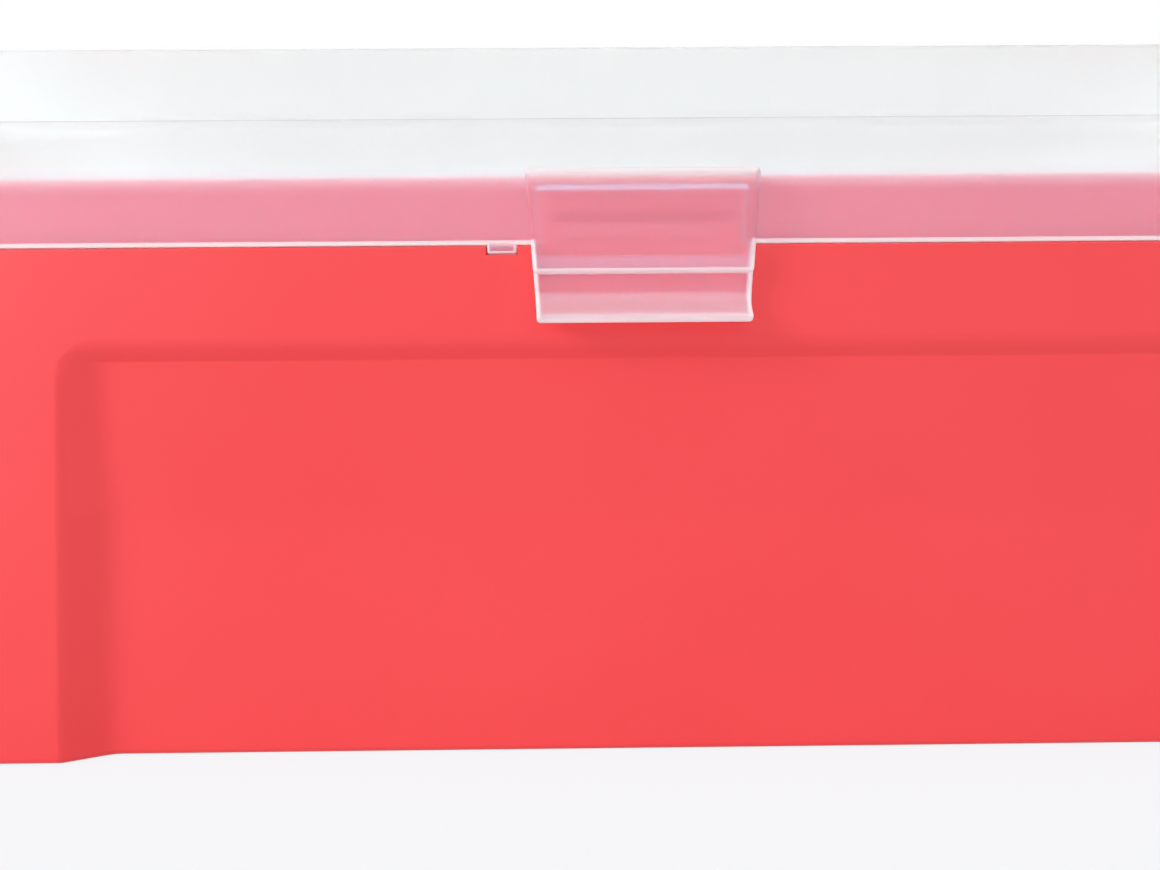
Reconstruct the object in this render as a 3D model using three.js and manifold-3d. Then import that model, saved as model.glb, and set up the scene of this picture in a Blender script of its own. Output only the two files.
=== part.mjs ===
// A hinged-lid box of pipette tips: a moulded base, a frosted lid that snaps onto two pins at the
// back, and a plate of 96 holes inside, which holds the tips on a 9 mm grid. Every tip has a filter
// plug.
//
// Millimetres, +Z up. The origin is at the middle of the footprint, on the surface that the box
// stands on. The latch is on the -Y side and the hinge on the +Y side.
import * as THREE from 'three';
import { mergeVertices } from 'three/addons/utils/BufferGeometryUtils.js';
import Module from 'manifold-3d';

const wasm = await Module();
wasm.setup();

// ---- Driving dimensions ----------------------------------------------------------------------

// The base.
const footLength = 127.8; // the standard microplate footprint, along X
const footWidth = 85.5; // along Y
const cornerRadius = 3.2; // of the footprint's corners
const edgeChamfer = 0.8; // on the long outer edges
const seatHeight = 44.75; // the shoulder that the lid's skirt ends above
const neckHeight = 6.5; // the neck that stands above the shoulder, inside the skirt
const bandHeight = 9.9; // the proud band under the shoulder
const panelDepth = 2.2; // how far the side panels are sunk behind the band and the corner posts
const panelWall = 1.3; // wall thickness behind a sunk panel
const panelSlope = 3.6; // width of the sloping side of a sunk panel
const panelCorner = 2.7; // radius of a sunk panel's upper corners
const postWidth = 12.9; // flush corner post, from the end of a side to the panel's edge
const floorThickness = 1.8;
const ribDepth = 2.2; // the ribs inside the walls, which carry the plate
const ribWidth = 1.6;
const longSideRibs = 4;
const shortSideRibs = 3;

// The lid.
const lidWall = 1.3;
const neckGap = 0.45; // between the skirt's inner face and the neck
const seatGap = 0.3; // between the skirt's lower edge and the shoulder
const skirtHeight = 11.1; // from the skirt's lower edge to the lid's shoulder
const topHeight = 7.6; // the raised top, which goes into the next box's stacking recess
const topCornerRadius = 1.6; // of the raised top
const topChamfer = 0.5; // round its upper edge
const stackGap = 0.4; // around the raised top, inside that recess
const stackClearance = 0.3; // above the raised top, inside that recess

// The latch tab, at the middle of the front.
const tabTopWidth = 20.1;
const tabTaper = 0.075; // how far each side leans in, for each millimetre down
const tabRise = 6; // its upper edge above the skirt's lower edge
const tabDrop = 3.1; // the thick part's lower edge below the skirt's lower edge
const tabProud = 1.8; // the thick part's outer face in front of the skirt
const tabWall = 1.25; // its front and its top
const tabSide = 0.7; // the wall at each side of it
const lipDrop = 4.3; // the finger lip below the thick part
const lipWall = 0.9;
const lipEdge = 0.75; // the lip's thickness at its bottom edge
const lipGap = 0.3; // between the finger lip and the band
const flareHeight = 2.2; // the lip's outer face curves outwards over this height
const catchWidth = 16; // the catch on the neck, behind the tab
const catchHeight = 1.6;
const catchProud = 1.6;
const catchRise = 2.7; // the catch's underside above the shoulder
const hookWidth = 14; // the hook inside the tab, under the catch
const hookHeight = 1.3;
const catchGap = 0.35; // between the hook and the catch, front to back
const hookGap = 0.7; // between the hook's top and the catch's underside

// The locating nib under the skirt's lower edge, and its notch in the band.
const nibWidth = 2.6;
const nibDrop = 1;
const nibOffset = 12.2; // its middle, to the left of the tab's middle
const nibGap = 0.3;

// The hinge.
const pinRadius = 1.1;
const pinGap = 0.25; // between a pin and its knuckle
const knuckleWall = 1;
const knuckleWidth = 9.4;
const knuckleMouth = 1.7; // the slot that the pin snaps in through
const earThickness = 1.8;
const earDrop = 4.8; // the foot of an ear below the pin's axis
const webRise = 5.6; // the top of a knuckle's web above the pin's axis
const webAngle = Math.PI / 5; // where the web leaves the knuckle, above the horizontal
const hingeGap = 0.3; // running clearance beside and around the knuckles
const pinBehind = 0.55; // the pin's axis behind the back of the footprint
const pinAbove = 1.2; // the pin's axis above the shoulder
const hingeStation = 38; // distance of each knuckle from the middle

// The plate and the tips.
const columns = 12;
const rows = 8;
const pitch = 9;
const plateThickness = 3;
const plateDrop = 4.6; // the plate's top below the neck's rim
const plateGap = 0.3; // around the plate, and between it and its ribs
const tipLength = 31.5;
const collarHeight = 4.2;
const collarRadius = 3;
const seatRadius = 2.1; // the tip just under its collar
const throatRadius = 1.65; // the tip at the plate's underside
const mouthRadius = 1.8; // bore
const tipWall = 0.45;
const boreDraft = 0.1; // how much the bore narrows from the plate to the lower cone
const coneStart = 13; // the lower cone begins this far below the mouth
const orificeRadius = 0.22;
const holeGap = 0.3; // between a tip and its hole
const filterStart = 8.5; // the filter plug begins this far below the mouth
const filterLength = 4;
const filterGap = 0.15; // between the plug and the bore
const shownColumns = [0, 2, 4, 7, 9, 11]; // the places in the grid that hold a modelled tip
const shownRows = [0, 2, 5, 7];

const roundSides = 24; // facets on a hinge cylinder
const holeSides = 10; // facets on a tip and on its hole
const flareSteps = 3; // facets on the finger lip's flare
const overlap = 1; // how far a cutting shape reaches past the face that it opens

// ---- Derived places --------------------------------------------------------------------------

const frontFace = -footWidth / 2;
const backFace = footWidth / 2;
const rimHeight = seatHeight + neckHeight;
const bandBottom = seatHeight - bandHeight;
const cavityInset = panelDepth + panelWall; // from the footprint's edge to the inside of the walls
const neckInset = lidWall + neckGap;
const recessDepth = topHeight + stackClearance;
const floorTop = recessDepth + floorThickness;

const skirtBottom = seatHeight + seatGap;
const lidShoulder = skirtBottom + skirtHeight;
const lidTop = lidShoulder + topHeight;
const topInset = cavityInset + stackGap; // from the footprint's edge to the raised top

const plateTop = rimHeight - plateDrop;
const plateBottom = plateTop - plateThickness;
const tipTop = plateTop + plateGap + collarHeight;
const boreAtPlate = throatRadius - tipWall;
const boreAtCone = boreAtPlate - boreDraft;

const pinY = backFace + pinBehind;
const pinZ = seatHeight + pinAbove;
const knuckleBore = pinRadius + pinGap;
const knuckleRadius = knuckleBore + knuckleWall;
const sweepRadius = knuckleRadius + hingeGap; // kept clear around the knuckles
const earInner = knuckleWidth / 2 + hingeGap; // from the station's middle
const earOuter = earInner + earThickness;
const earSweep = earOuter + hingeGap;

// ---- Shapes ----------------------------------------------------------------------------------

// A closed three.js geometry as a solid that can be cut and joined.
function solid(geometry) {
  const bare = geometry.clone();
  bare.deleteAttribute('normal');
  bare.deleteAttribute('uv');
  const merged = mergeVertices(bare, 1e-5);
  const mesh = new wasm.Mesh({
    numProp: 3,
    vertProperties: Float32Array.from(merged.attributes.position.array),
    triVerts: Uint32Array.from(merged.index.array),
  });
  return new wasm.Manifold(mesh);
}

function joined(parts) {
  return parts.reduce((whole, part) => whole.add(part));
}

function without(body, cuts) {
  return cuts.reduce((rest, cut) => rest.subtract(cut), body);
}

function geometryOf(body) {
  const mesh = body.getMesh();
  const geometry = new THREE.BufferGeometry();
  geometry.setAttribute('position', new THREE.BufferAttribute(mesh.vertProperties, 3));
  geometry.setIndex(new THREE.BufferAttribute(mesh.triVerts, 1));
  geometry.computeVertexNormals();
  return geometry;
}

function roundedRectangle(length, width, radius) {
  const x = length / 2;
  const y = width / 2;
  const shape = new THREE.Shape();
  shape.moveTo(-x + radius, -y);
  shape.lineTo(x - radius, -y);
  shape.absarc(x - radius, -y + radius, radius, -Math.PI / 2, 0);
  shape.lineTo(x, y - radius);
  shape.absarc(x - radius, y - radius, radius, 0, Math.PI / 2);
  shape.lineTo(-x + radius, y);
  shape.absarc(-x + radius, y - radius, radius, Math.PI / 2, Math.PI);
  shape.lineTo(-x, -y + radius);
  shape.absarc(-x + radius, -y + radius, radius, Math.PI, Math.PI * 1.5);
  return shape;
}

// The footprint drawn in by inset, from low to high. Its upper and lower edges are chamfered where
// chamfer is given.
function slab(inset, radius, low, high, chamfer = 0) {
  const drawnIn = inset + chamfer;
  const length = footLength - 2 * drawnIn;
  const width = footWidth - 2 * drawnIn;
  const outline = roundedRectangle(length, width, radius - chamfer);
  const geometry = new THREE.ExtrudeGeometry(outline, {
    depth: high - low - 2 * chamfer,
    curveSegments: 4,
    bevelEnabled: chamfer > 0,
    bevelThickness: chamfer,
    bevelSize: chamfer,
    bevelSegments: 1,
  });
  return solid(geometry.translate(0, 0, low + chamfer));
}

function block(x0, x1, y0, y1, z0, z1) {
  const geometry = new THREE.BoxGeometry(x1 - x0, y1 - y0, z1 - z0);
  return solid(geometry.translate((x0 + x1) / 2, (y0 + y1) / 2, (z0 + z1) / 2));
}

function polygon(points) {
  return new THREE.Shape(points.map(([u, v]) => new THREE.Vector2(u, v)));
}

// A prism of an outline drawn in the plane of the two axes named, along the third, from low to high.
function prism(plane, outline, low, high, curveSegments = 6) {
  const shape = Array.isArray(outline) ? polygon(outline) : outline;
  const depth = high - low;
  const geometry = new THREE.ExtrudeGeometry(shape, { depth, curveSegments, bevelEnabled: false });
  geometry.translate(0, 0, low);
  const x = new THREE.Vector3(1, 0, 0);
  const y = new THREE.Vector3(0, 1, 0);
  const z = new THREE.Vector3(0, 0, 1);
  const bases = { xy: [x, y, z], yz: [y, z, x], xz: [x, z, y.clone().negate()] };
  return solid(geometry.applyMatrix4(new THREE.Matrix4().makeBasis(...bases[plane])));
}

// A prism of an outline in the X-Z plane, from the nearer to the farther Y.
function prismAlongY(outline, near, far) {
  return prism('xz', outline, -far, -near);
}

function rodAlongX(radius, x0, x1, y, z) {
  const geometry = new THREE.CylinderGeometry(radius, radius, x1 - x0, roundSides);
  geometry.rotateZ(Math.PI / 2);
  return solid(geometry.translate((x0 + x1) / 2, y, z));
}

// ---- The base --------------------------------------------------------------------------------

// What one sunk panel takes out of a side of the given length. The side's outer face is at Y = 0,
// with the material behind it at positive Y.
function panelCut(sideLength) {
  const half = sideLength / 2 - postWidth;
  const plan = [
    [-half, 0],
    [-half, -overlap],
    [half, -overlap],
    [half, 0],
    [half - panelSlope, panelDepth],
    [-half + panelSlope, panelDepth],
  ];
  const arch = new THREE.Shape();
  arch.moveTo(-half, -overlap);
  arch.lineTo(half, -overlap);
  arch.lineTo(half, bandBottom - panelCorner);
  arch.absarc(half - panelCorner, bandBottom - panelCorner, panelCorner, 0, Math.PI / 2);
  arch.lineTo(-half + panelCorner, bandBottom);
  arch.absarc(-half + panelCorner, bandBottom - panelCorner, panelCorner, Math.PI / 2, Math.PI);
  const upright = prism('xy', plan, -overlap, bandBottom);
  return upright.intersect(prismAlongY(arch, -2 * overlap, panelDepth + overlap));
}

function sunkPanels() {
  const long = panelCut(footLength);
  const short = panelCut(footWidth);
  return [
    long.translate([0, frontFace, 0]),
    long.rotate([0, 0, 180]).translate([0, backFace, 0]),
    short.rotate([0, 0, 90]).translate([footLength / 2, 0, 0]),
    short.rotate([0, 0, -90]).translate([-footLength / 2, 0, 0]),
  ];
}

// Places spread evenly along a side, half a step in from its ends.
function spread(count, length) {
  return Array.from({ length: count }, (_, i) => ((i + 0.5) / count - 0.5) * length);
}

// The ribs inside the walls, whose tops carry the plate.
function plateRibs() {
  const wallX = footLength / 2 - cavityInset;
  const wallY = footWidth / 2 - cavityInset;
  const low = floorTop - floorThickness / 2;
  const high = plateBottom - plateGap;
  const root = panelWall / 2; // how far a rib is rooted in its wall
  const half = ribWidth / 2;
  const ribs = [];
  for (const x of spread(longSideRibs, 2 * wallX)) {
    ribs.push(block(x - half, x + half, wallY - ribDepth, wallY + root, low, high));
    ribs.push(block(x - half, x + half, -wallY - root, -wallY + ribDepth, low, high));
  }
  for (const y of spread(shortSideRibs, 2 * wallY)) {
    ribs.push(block(wallX - ribDepth, wallX + root, y - half, y + half, low, high));
    ribs.push(block(-wallX - root, -wallX + ribDepth, y - half, y + half, low, high));
  }
  return ribs;
}

// The catch that the latch tab's hook goes under, on the front of the neck.
function neckCatch() {
  const neckFace = frontFace + neckInset;
  const root = neckFace + neckInset / 2;
  const low = seatHeight + catchRise;
  const high = low + catchHeight;
  const section = [
    [root, low],
    [root, high],
    [neckFace, high],
    [neckFace - catchProud, low + catchHeight / 3],
    [neckFace - catchProud, low],
  ];
  return prism('yz', section, -catchWidth / 2, catchWidth / 2);
}

// The two ears and the pin of one hinge station.
function hingePin(station) {
  const web = [
    [backFace - cavityInset / 2, pinZ - earDrop],
    [backFace, pinZ - earDrop],
    [pinY + knuckleRadius, pinZ],
    [backFace - cavityInset / 2, pinZ],
  ];
  const rooted = earInner + overlap; // the pin's ends are inside the ears
  const pieces = [rodAlongX(pinRadius, station - rooted, station + rooted, pinY, pinZ)];
  for (const [x0, x1] of [[-earOuter, -earInner], [earInner, earOuter]]) {
    pieces.push(rodAlongX(knuckleRadius, station + x0, station + x1, pinY, pinZ));
    pieces.push(prism('yz', web, station + x0, station + x1));
  }
  return joined(pieces);
}

function makeBase() {
  const stations = [-hingeStation, hingeStation];
  const shell = without(
    slab(0, cornerRadius, 0, seatHeight, edgeChamfer).add(
      slab(neckInset, cornerRadius - neckInset, seatHeight - edgeChamfer - overlap, rimHeight),
    ),
    [
      ...sunkPanels(),
      slab(cavityInset, cornerRadius / 2, floorTop, rimHeight + overlap),
      slab(cavityInset, cornerRadius / 2, -overlap, recessDepth),
      ...stations.map((x) => rodAlongX(sweepRadius, x - earInner, x + earInner, pinY, pinZ)),
      block(
        -nibOffset - nibWidth / 2 - nibGap,
        -nibOffset + nibWidth / 2 + nibGap,
        frontFace - overlap,
        frontFace + neckInset,
        skirtBottom - nibDrop - nibGap,
        seatHeight + overlap,
      ),
    ],
  );
  return joined([shell, ...plateRibs(), neckCatch(), ...stations.map(hingePin)]);
}

// ---- The lid ---------------------------------------------------------------------------------

// An outline of the latch tab in the X-Z plane. Both sides lean in on the way down.
function tabOutline(low, high, inset = 0) {
  const top = skirtBottom + tabRise;
  const half = (z) => tabTopWidth / 2 - inset - tabTaper * (top - z);
  return [
    [-half(low), low],
    [half(low), low],
    [half(high), high],
    [-half(high), high],
  ];
}

// The finger lip's section in the Y-Z plane: a flat upper part and a flare that curves outwards.
function lipSection(high, low) {
  const lipBack = frontFace - lipGap;
  const lipFace = lipBack - lipWall;
  const reach = pinY + knuckleRadius + lipFace; // as far out at the front as the hinge is at the back
  const outer = [];
  const inner = [];
  for (let step = 0; step <= flareSteps; step += 1) {
    const share = step / flareSteps;
    const out = reach * share ** 2;
    const down = flareHeight * share;
    const slope = (2 * reach * share) / flareHeight;
    const wall = (lipWall + (lipEdge - lipWall) * share) / Math.hypot(slope, 1);
    outer.push([lipFace - out, -down]);
    inner.unshift([lipFace - out + wall, -down - wall * slope]);
  }
  const top = low - inner[0][1]; // the height at which the flare begins
  const curve = [...outer, ...inner].map(([y, z]) => [y, top + z]);
  return [[lipFace, high], ...curve, [lipBack, high]];
}

// The latch tab: a hollow block that stands proud of the skirt, and the finger lip that hangs from it.
function latchTab() {
  const top = skirtBottom + tabRise;
  const thickBottom = skirtBottom - tabDrop;
  const lipTop = thickBottom + tabWall / 2;
  const lipBottom = thickBottom - lipDrop;
  const face = frontFace - tabProud;
  const lipBack = frontFace - lipGap;
  const ceiling = top - tabWall;
  const thickPart = prismAlongY(tabOutline(thickBottom, top), face, frontFace + lidWall / 2);
  const lip = prism('yz', lipSection(lipTop, lipBottom), -tabTopWidth, tabTopWidth).intersect(
    prismAlongY(tabOutline(lipBottom - overlap, lipTop + overlap), 2 * frontFace, 0),
  );
  const pocket = prismAlongY(
    tabOutline(lipTop, ceiling, tabSide),
    face + tabWall,
    frontFace + lidWall + overlap,
  );
  const halfWidth = (tabTopWidth + lidWall) / 2;
  const bandClearance = block(
    -halfWidth,
    halfWidth,
    lipBack,
    frontFace + lidWall,
    lipBottom - overlap,
    skirtBottom,
  );
  const hookTop = seatHeight + catchRise - hookGap;
  const hook = block(
    -hookWidth / 2,
    hookWidth / 2,
    face + tabWall / 2,
    frontFace + neckInset - catchProud - catchGap,
    hookTop - hookHeight,
    hookTop,
  );
  return { proud: thickPart.add(lip), cuts: [pocket, bandClearance], hook };
}

// The C-shaped knuckle of one hinge station, with the web that ties it to the skirt.
function knuckle(station) {
  const x0 = station - knuckleWidth / 2;
  const x1 = station + knuckleWidth / 2;
  const web = [
    [backFace - lidWall, pinZ],
    [pinY, pinZ],
    [pinY + knuckleRadius * Math.cos(webAngle), pinZ + knuckleRadius * Math.sin(webAngle)],
    [backFace - lidWall / 2, pinZ + webRise],
    [backFace - lidWall, pinZ + webRise],
  ];
  return joined([rodAlongX(knuckleRadius, x0, x1, pinY, pinZ), prism('yz', web, x0, x1)]);
}

function knuckleBoreCuts(station) {
  const x0 = station - knuckleWidth / 2 - hingeGap / 2;
  const x1 = station + knuckleWidth / 2 + hingeGap / 2;
  const halfMouth = knuckleMouth / 2;
  const mouth = block(x0, x1, pinY - halfMouth, pinY + halfMouth, pinZ - 2 * knuckleRadius, pinZ);
  return [rodAlongX(knuckleBore, x0, x1, pinY, pinZ), mouth];
}

function makeLid() {
  const stations = [-hingeStation, hingeStation];
  const tab = latchTab();
  const nib = block(
    -nibOffset - nibWidth / 2,
    -nibOffset + nibWidth / 2,
    frontFace,
    frontFace + lidWall,
    skirtBottom - nibDrop,
    skirtBottom + lidWall,
  );
  const outside = joined([
    slab(0, cornerRadius, skirtBottom - overlap - edgeChamfer, lidShoulder, edgeChamfer),
    slab(topInset, topCornerRadius, lidShoulder - edgeChamfer - overlap, lidTop, topChamfer),
  ]);
  const trimmed = without(outside, [
    block(-footLength, footLength, -footWidth, footWidth, 0, skirtBottom),
    slab(lidWall, cornerRadius - lidWall, skirtBottom - overlap, lidShoulder - lidWall),
  ]);
  const shell = without(joined([trimmed, nib, tab.proud]), [
    slab(topInset + lidWall, topCornerRadius - lidWall, skirtBottom, lidTop - lidWall),
    ...tab.cuts,
    ...stations.map((x) => rodAlongX(sweepRadius, x - earSweep, x + earSweep, pinY, pinZ)),
  ]);
  return without(joined([shell, tab.hook, ...stations.map(knuckle)]), stations.flatMap(knuckleBoreCuts));
}

// ---- The plate, the tips and their filter plugs ----------------------------------------------

function gridX(column) {
  return (column - (columns - 1) / 2) * pitch;
}

function gridY(row) {
  return ((rows - 1) / 2 - row) * pitch;
}

function makePlate() {
  const plate = slab(cavityInset + plateGap, cornerRadius / 2, plateBottom, plateTop);
  const topRadius = seatRadius + holeGap;
  const bottomRadius = throatRadius + holeGap;
  const slope = (topRadius - bottomRadius) / plateThickness;
  const hole = new THREE.CylinderGeometry(
    topRadius + slope * overlap,
    bottomRadius - slope * overlap,
    plateThickness + 2 * overlap,
    holeSides,
  );
  hole.rotateX(Math.PI / 2);
  const cut = solid(hole);
  const holes = [];
  for (let column = 0; column < columns; column += 1) {
    for (let row = 0; row < rows; row += 1) {
      holes.push(cut.translate([gridX(column), gridY(row), (plateBottom + plateTop) / 2]));
    }
  }
  return plate.subtract(joined(holes));
}

// Half-section of a tip with its mouth at Z = 0: down the bore, round the orifice and up the outside.
function tipProfile() {
  const plateDepth = collarHeight + plateGap + plateThickness;
  return [
    [collarRadius, 0],
    [mouthRadius, 0],
    [boreAtPlate, -plateDepth],
    [boreAtCone, -coneStart],
    [orificeRadius, -tipLength],
    [orificeRadius + tipWall / 2, -tipLength],
    [boreAtCone + tipWall, -coneStart],
    [throatRadius, -plateDepth],
    [seatRadius, -collarHeight],
    [collarRadius, -collarHeight],
    [collarRadius, 0],
  ];
}

// A lathed shape stands along Y, so it is turned upright.
function turned(profile) {
  const points = profile.map(([radius, height]) => new THREE.Vector2(radius, height));
  return geometryOf(solid(new THREE.LatheGeometry(points, holeSides).rotateX(Math.PI / 2)));
}

function filterProfile() {
  const radius = boreAtCone - filterGap;
  return [
    [0, -filterStart],
    [0, -filterStart - filterLength],
    [radius, -filterStart - filterLength],
    [radius, -filterStart],
    [0, -filterStart],
  ];
}

// ---- The scene graph -------------------------------------------------------------------------

function plastic(color, roughness, opacity = 1) {
  const transparent = opacity < 1;
  return new THREE.MeshStandardMaterial({ color, roughness, metalness: 0, opacity, transparent });
}

const rack = new THREE.Group();

function place(name, geometry, material, x = 0, y = 0, z = 0) {
  const mesh = new THREE.Mesh(geometry, material);
  mesh.name = name;
  mesh.position.set(x, y, z);
  rack.add(mesh);
}

place('base', geometryOf(makeBase()), plastic(0xf5575c, 0.4));
place('lid', geometryOf(makeLid()), plastic(0xeef0f2, 0.45, 0.4));
place('tip_plate', geometryOf(makePlate()), plastic(0xf2f2ee, 0.5));

const tipGeometry = turned(tipProfile());
const filterGeometry = turned(filterProfile());
for (const row of shownRows) {
  for (const column of shownColumns) {
    const label = `${'ABCDEFGH'[row]}${column + 1}`;
    const x = gridX(column);
    const y = gridY(row);
    place(`tip_${label}`, tipGeometry, plastic(0xe8e9e6, 0.35, 0.6), x, y, tipTop);
    place(`filter_${label}`, filterGeometry, plastic(0xf7f7f4, 0.9), x, y, tipTop);
  }
}

export default rack;
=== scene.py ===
import math

import bmesh
import bpy
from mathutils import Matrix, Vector


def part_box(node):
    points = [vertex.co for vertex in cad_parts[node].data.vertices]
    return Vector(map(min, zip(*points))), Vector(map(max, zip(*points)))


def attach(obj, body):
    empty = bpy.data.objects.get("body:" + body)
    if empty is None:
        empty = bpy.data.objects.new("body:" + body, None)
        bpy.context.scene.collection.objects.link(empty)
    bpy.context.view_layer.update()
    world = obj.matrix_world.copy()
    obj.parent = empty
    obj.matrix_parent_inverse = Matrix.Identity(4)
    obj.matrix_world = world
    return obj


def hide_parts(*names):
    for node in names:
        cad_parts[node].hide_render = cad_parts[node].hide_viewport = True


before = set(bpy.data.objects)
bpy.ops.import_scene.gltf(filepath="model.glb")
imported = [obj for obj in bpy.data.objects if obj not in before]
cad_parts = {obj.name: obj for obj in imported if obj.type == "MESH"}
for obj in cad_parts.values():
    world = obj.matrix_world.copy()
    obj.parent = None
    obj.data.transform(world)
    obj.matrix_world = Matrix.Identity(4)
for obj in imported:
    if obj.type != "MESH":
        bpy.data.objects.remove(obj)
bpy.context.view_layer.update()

MM = 0.001


def box_mm(node):
    """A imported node's lowest and highest corners, in millimetres."""
    low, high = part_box(node)
    return low / MM, high / MM


# ---- Sizes in millimetres ----------------------------------------------------------------------

base_low, base_high = box_mm("base")
lid_low, lid_high = box_mm("lid")
plate_low, plate_high = box_mm("tip_plate")

LENGTH = base_high.x - base_low.x
WIDTH = -2 * base_low.y
CORNER = 3.2

# The base.
RIM = base_high.z
SEAT = 44.75
NECK_INSET = 1.75
PANEL_TOP = 34.95
POST = 12.9
SINK_DEPTH = 2.2
SINK_CORNER = 2.7
SINK_EDGE, SINK_SLOPE, SINK_FOOT = 0.5, 2.9, 4.6  # how far in a panel's brink, slope and soft foot end
SINK_BROW, SINK_LEAN = 0.42, 14.0  # a panel is shallower under the band, and leans to its full depth below
BROW_RISE = 1.3
CAVITY_INSET = 3.5
FLOOR_TOP = 9.7
RECESS = 7.9
RIB, RIB_DEPTH = 1.6, 2.2
LONG_RIBS, SHORT_RIBS = 4, 3

# The lid.
LID_WALL = 1.3
SKIRT = 45.05
SKIRT_EDGE = SEAT + 0.05  # the skirt all but rests on the shoulder
SHOULDER = 56.15
TOP = lid_high.z
TIER_INSET, TIER_CORNER, TIER_ROUND = 3.9, 1.6, 0.5
PAINTED_GLOW_HEIGHT = 0.38  # the skirt's lower edge has a painted glow over this height
SKIRT_ROUND = 0.12

# The latch tab and its finger lip.
TAB_TOP, TAB_FOOT = 51.05, 41.95
TAB_MIDDLE, TAB_HALF, TAB_TAPER = 0.15, 10.12, 0.075
TAB_FACE = -(WIDTH / 2 + 1.8)
TAB_WALL, TAB_SIDE = 1.25, 0.7
LIP_BOTTOM = lid_low.z - 0.1
LIP_BACK = -(WIDTH / 2 + 0.3)
LIP_WALL, LIP_EDGE, LIP_ROUND = 0.9, 0.75, 0.28
FLARE_HEIGHT = 2.2
FLARE_REACH = LIP_BACK - LIP_WALL - lid_low.y
POCKET_FOOT, POCKET_TOP = 43.6, 49.95
CATCH_HALF, CATCH_LOW, CATCH_TOP, CATCH_PROUD = 8.0, 47.45, 49.05, 0.95
HOOK_HALF, HOOK_LOW, HOOK_TOP, HOOK_BACK = 7.0, 45.45, 46.75, -42.95

# The share of milky light in the lid's plastic, and the heights that it follows on the latch tab. Part of it
# is painted light: highlights along the shoulder, the rim line, the flare, the pocket's ceiling and the tab's
# edges.
TAB_FRONT, FLARE_TOP, CROWN = -42.95, 40.65, 50.45
WALL_HAZE, SHOULDER_PAINTED_GLOW, LEDGE_HAZE, PANEL_HAZE = 0.04, 0.12, 0.10, 0.03
SKIRT_HAZE, PAINTED_RIM_GLOW, SKIRT_HAZE_TOP = 0.165, 0.13, 51.6
TAB_CLEAR, STRIPE_CLEAR, FOOT_HAZE, FLARE_HAZE_AND_GLOW = 0.035, 0.11, 0.10, 0.12
PAINTED_CEILING_GLINT, PAINTED_TAB_EDGE_HAZE, TAB_EDGE = 0.45, 0.5, 0.42
PAINTED_RIM_WARMTH, PAINTED_FLARE_WARMTH = 0.6, 0.45
# The milk colours: plain, cooler on the skirt, and warm for the painted highlights.
MILK, SKIRT_MILK, PAINTED_GLOW_MILK = (0.96, 0.985, 1.0, 1), (0.80, 0.76, 1.0, 1), (1.0, 0.95, 0.95, 1)

# A plastic's slow drift of colour and its clouds of gloss.
DRIFT_SIZE, CLOUD_SIZE = 23.0, 4.0

# The locating nib and its notch.
NIB_X, NIB_HALF, NIB_DROP, NIB_GAP = -12.08, 1.27, 1.0, 0.12

# The hinge.
PIN_Y, PIN_Z, PIN_RADIUS = 43.3, 45.95, 1.1
KNUCKLE_RADIUS, KNUCKLE_BORE, KNUCKLE_HALF, KNUCKLE_MOUTH = 2.35, 1.35, 4.7, 1.7
EAR_INNER, EAR_OUTER, EAR_DROP = 5.0, 6.8, 4.8
SWEEP_RADIUS, SWEEP_GAP = 2.65, 0.3
WEB_RISE, WEB_ANGLE = 5.6, math.pi / 5
HINGES = (-38.0, 38.0)

# The plate.
PLATE_CORNER, PLATE_CHAMFER, HOLE_CHAMFER = 1.7, 0.35, 0.25

# The tips, from the mouth down.
COLUMNS, ROW_NAMES = 12, "ABCDEFGH"
COLLAR_HEIGHT, COLLAR_RADIUS = 4.2, 3.0
MOUTH_RADIUS, SEAT_RADIUS, THROAT_RADIUS = 1.8, 2.1, 1.65
PLATE_DEPTH, CONE_START, TIP_WALL = 7.5, 13.0, 0.45
BORE_PLATE = THROAT_RADIUS - TIP_WALL  # the bore's radius down to the plate's underside
BORE_CONE = BORE_PLATE - 0.1  # and where the lower cone begins
ORIFICE_RADIUS = 0.22
RING_MARKS, RING_PROUD = (18.0, 22.0), 0.06
COLLAR_RIB = 0.3
FILTER_START, FILTER_LENGTH, FILTER_GAP = 8.5, 4.0, 0.15
HOLE_GAP = 0.3
TIP_SIDES, FILTER_SIDES, HOLE_SIDES = 24, 16, 24

# The stage.
FLOOR_REACH, FLOOR_GAP, FLOOR_WHITE = 4000, 0.05, 0.84
CAMERA_X, CAMERA_AWAY, CAMERA_UP = -6.0, 78.3, 28.2
CAMERA_ROLL, CAMERA_TURN = 0.50, -0.43

# The four sides in turn, from the front: which way each one runs, and which way it faces.
TRAVEL = ((1, 0), (0, 1), (-1, 0), (0, -1))
OUTWARD = ((0, -1), (1, 0), (0, 1), (-1, 0))
CORNER_STEPS = 10
ROUND_SIDES, BORE_SIDES = 40, 32


# ---- Shader maths ------------------------------------------------------------------------------

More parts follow.
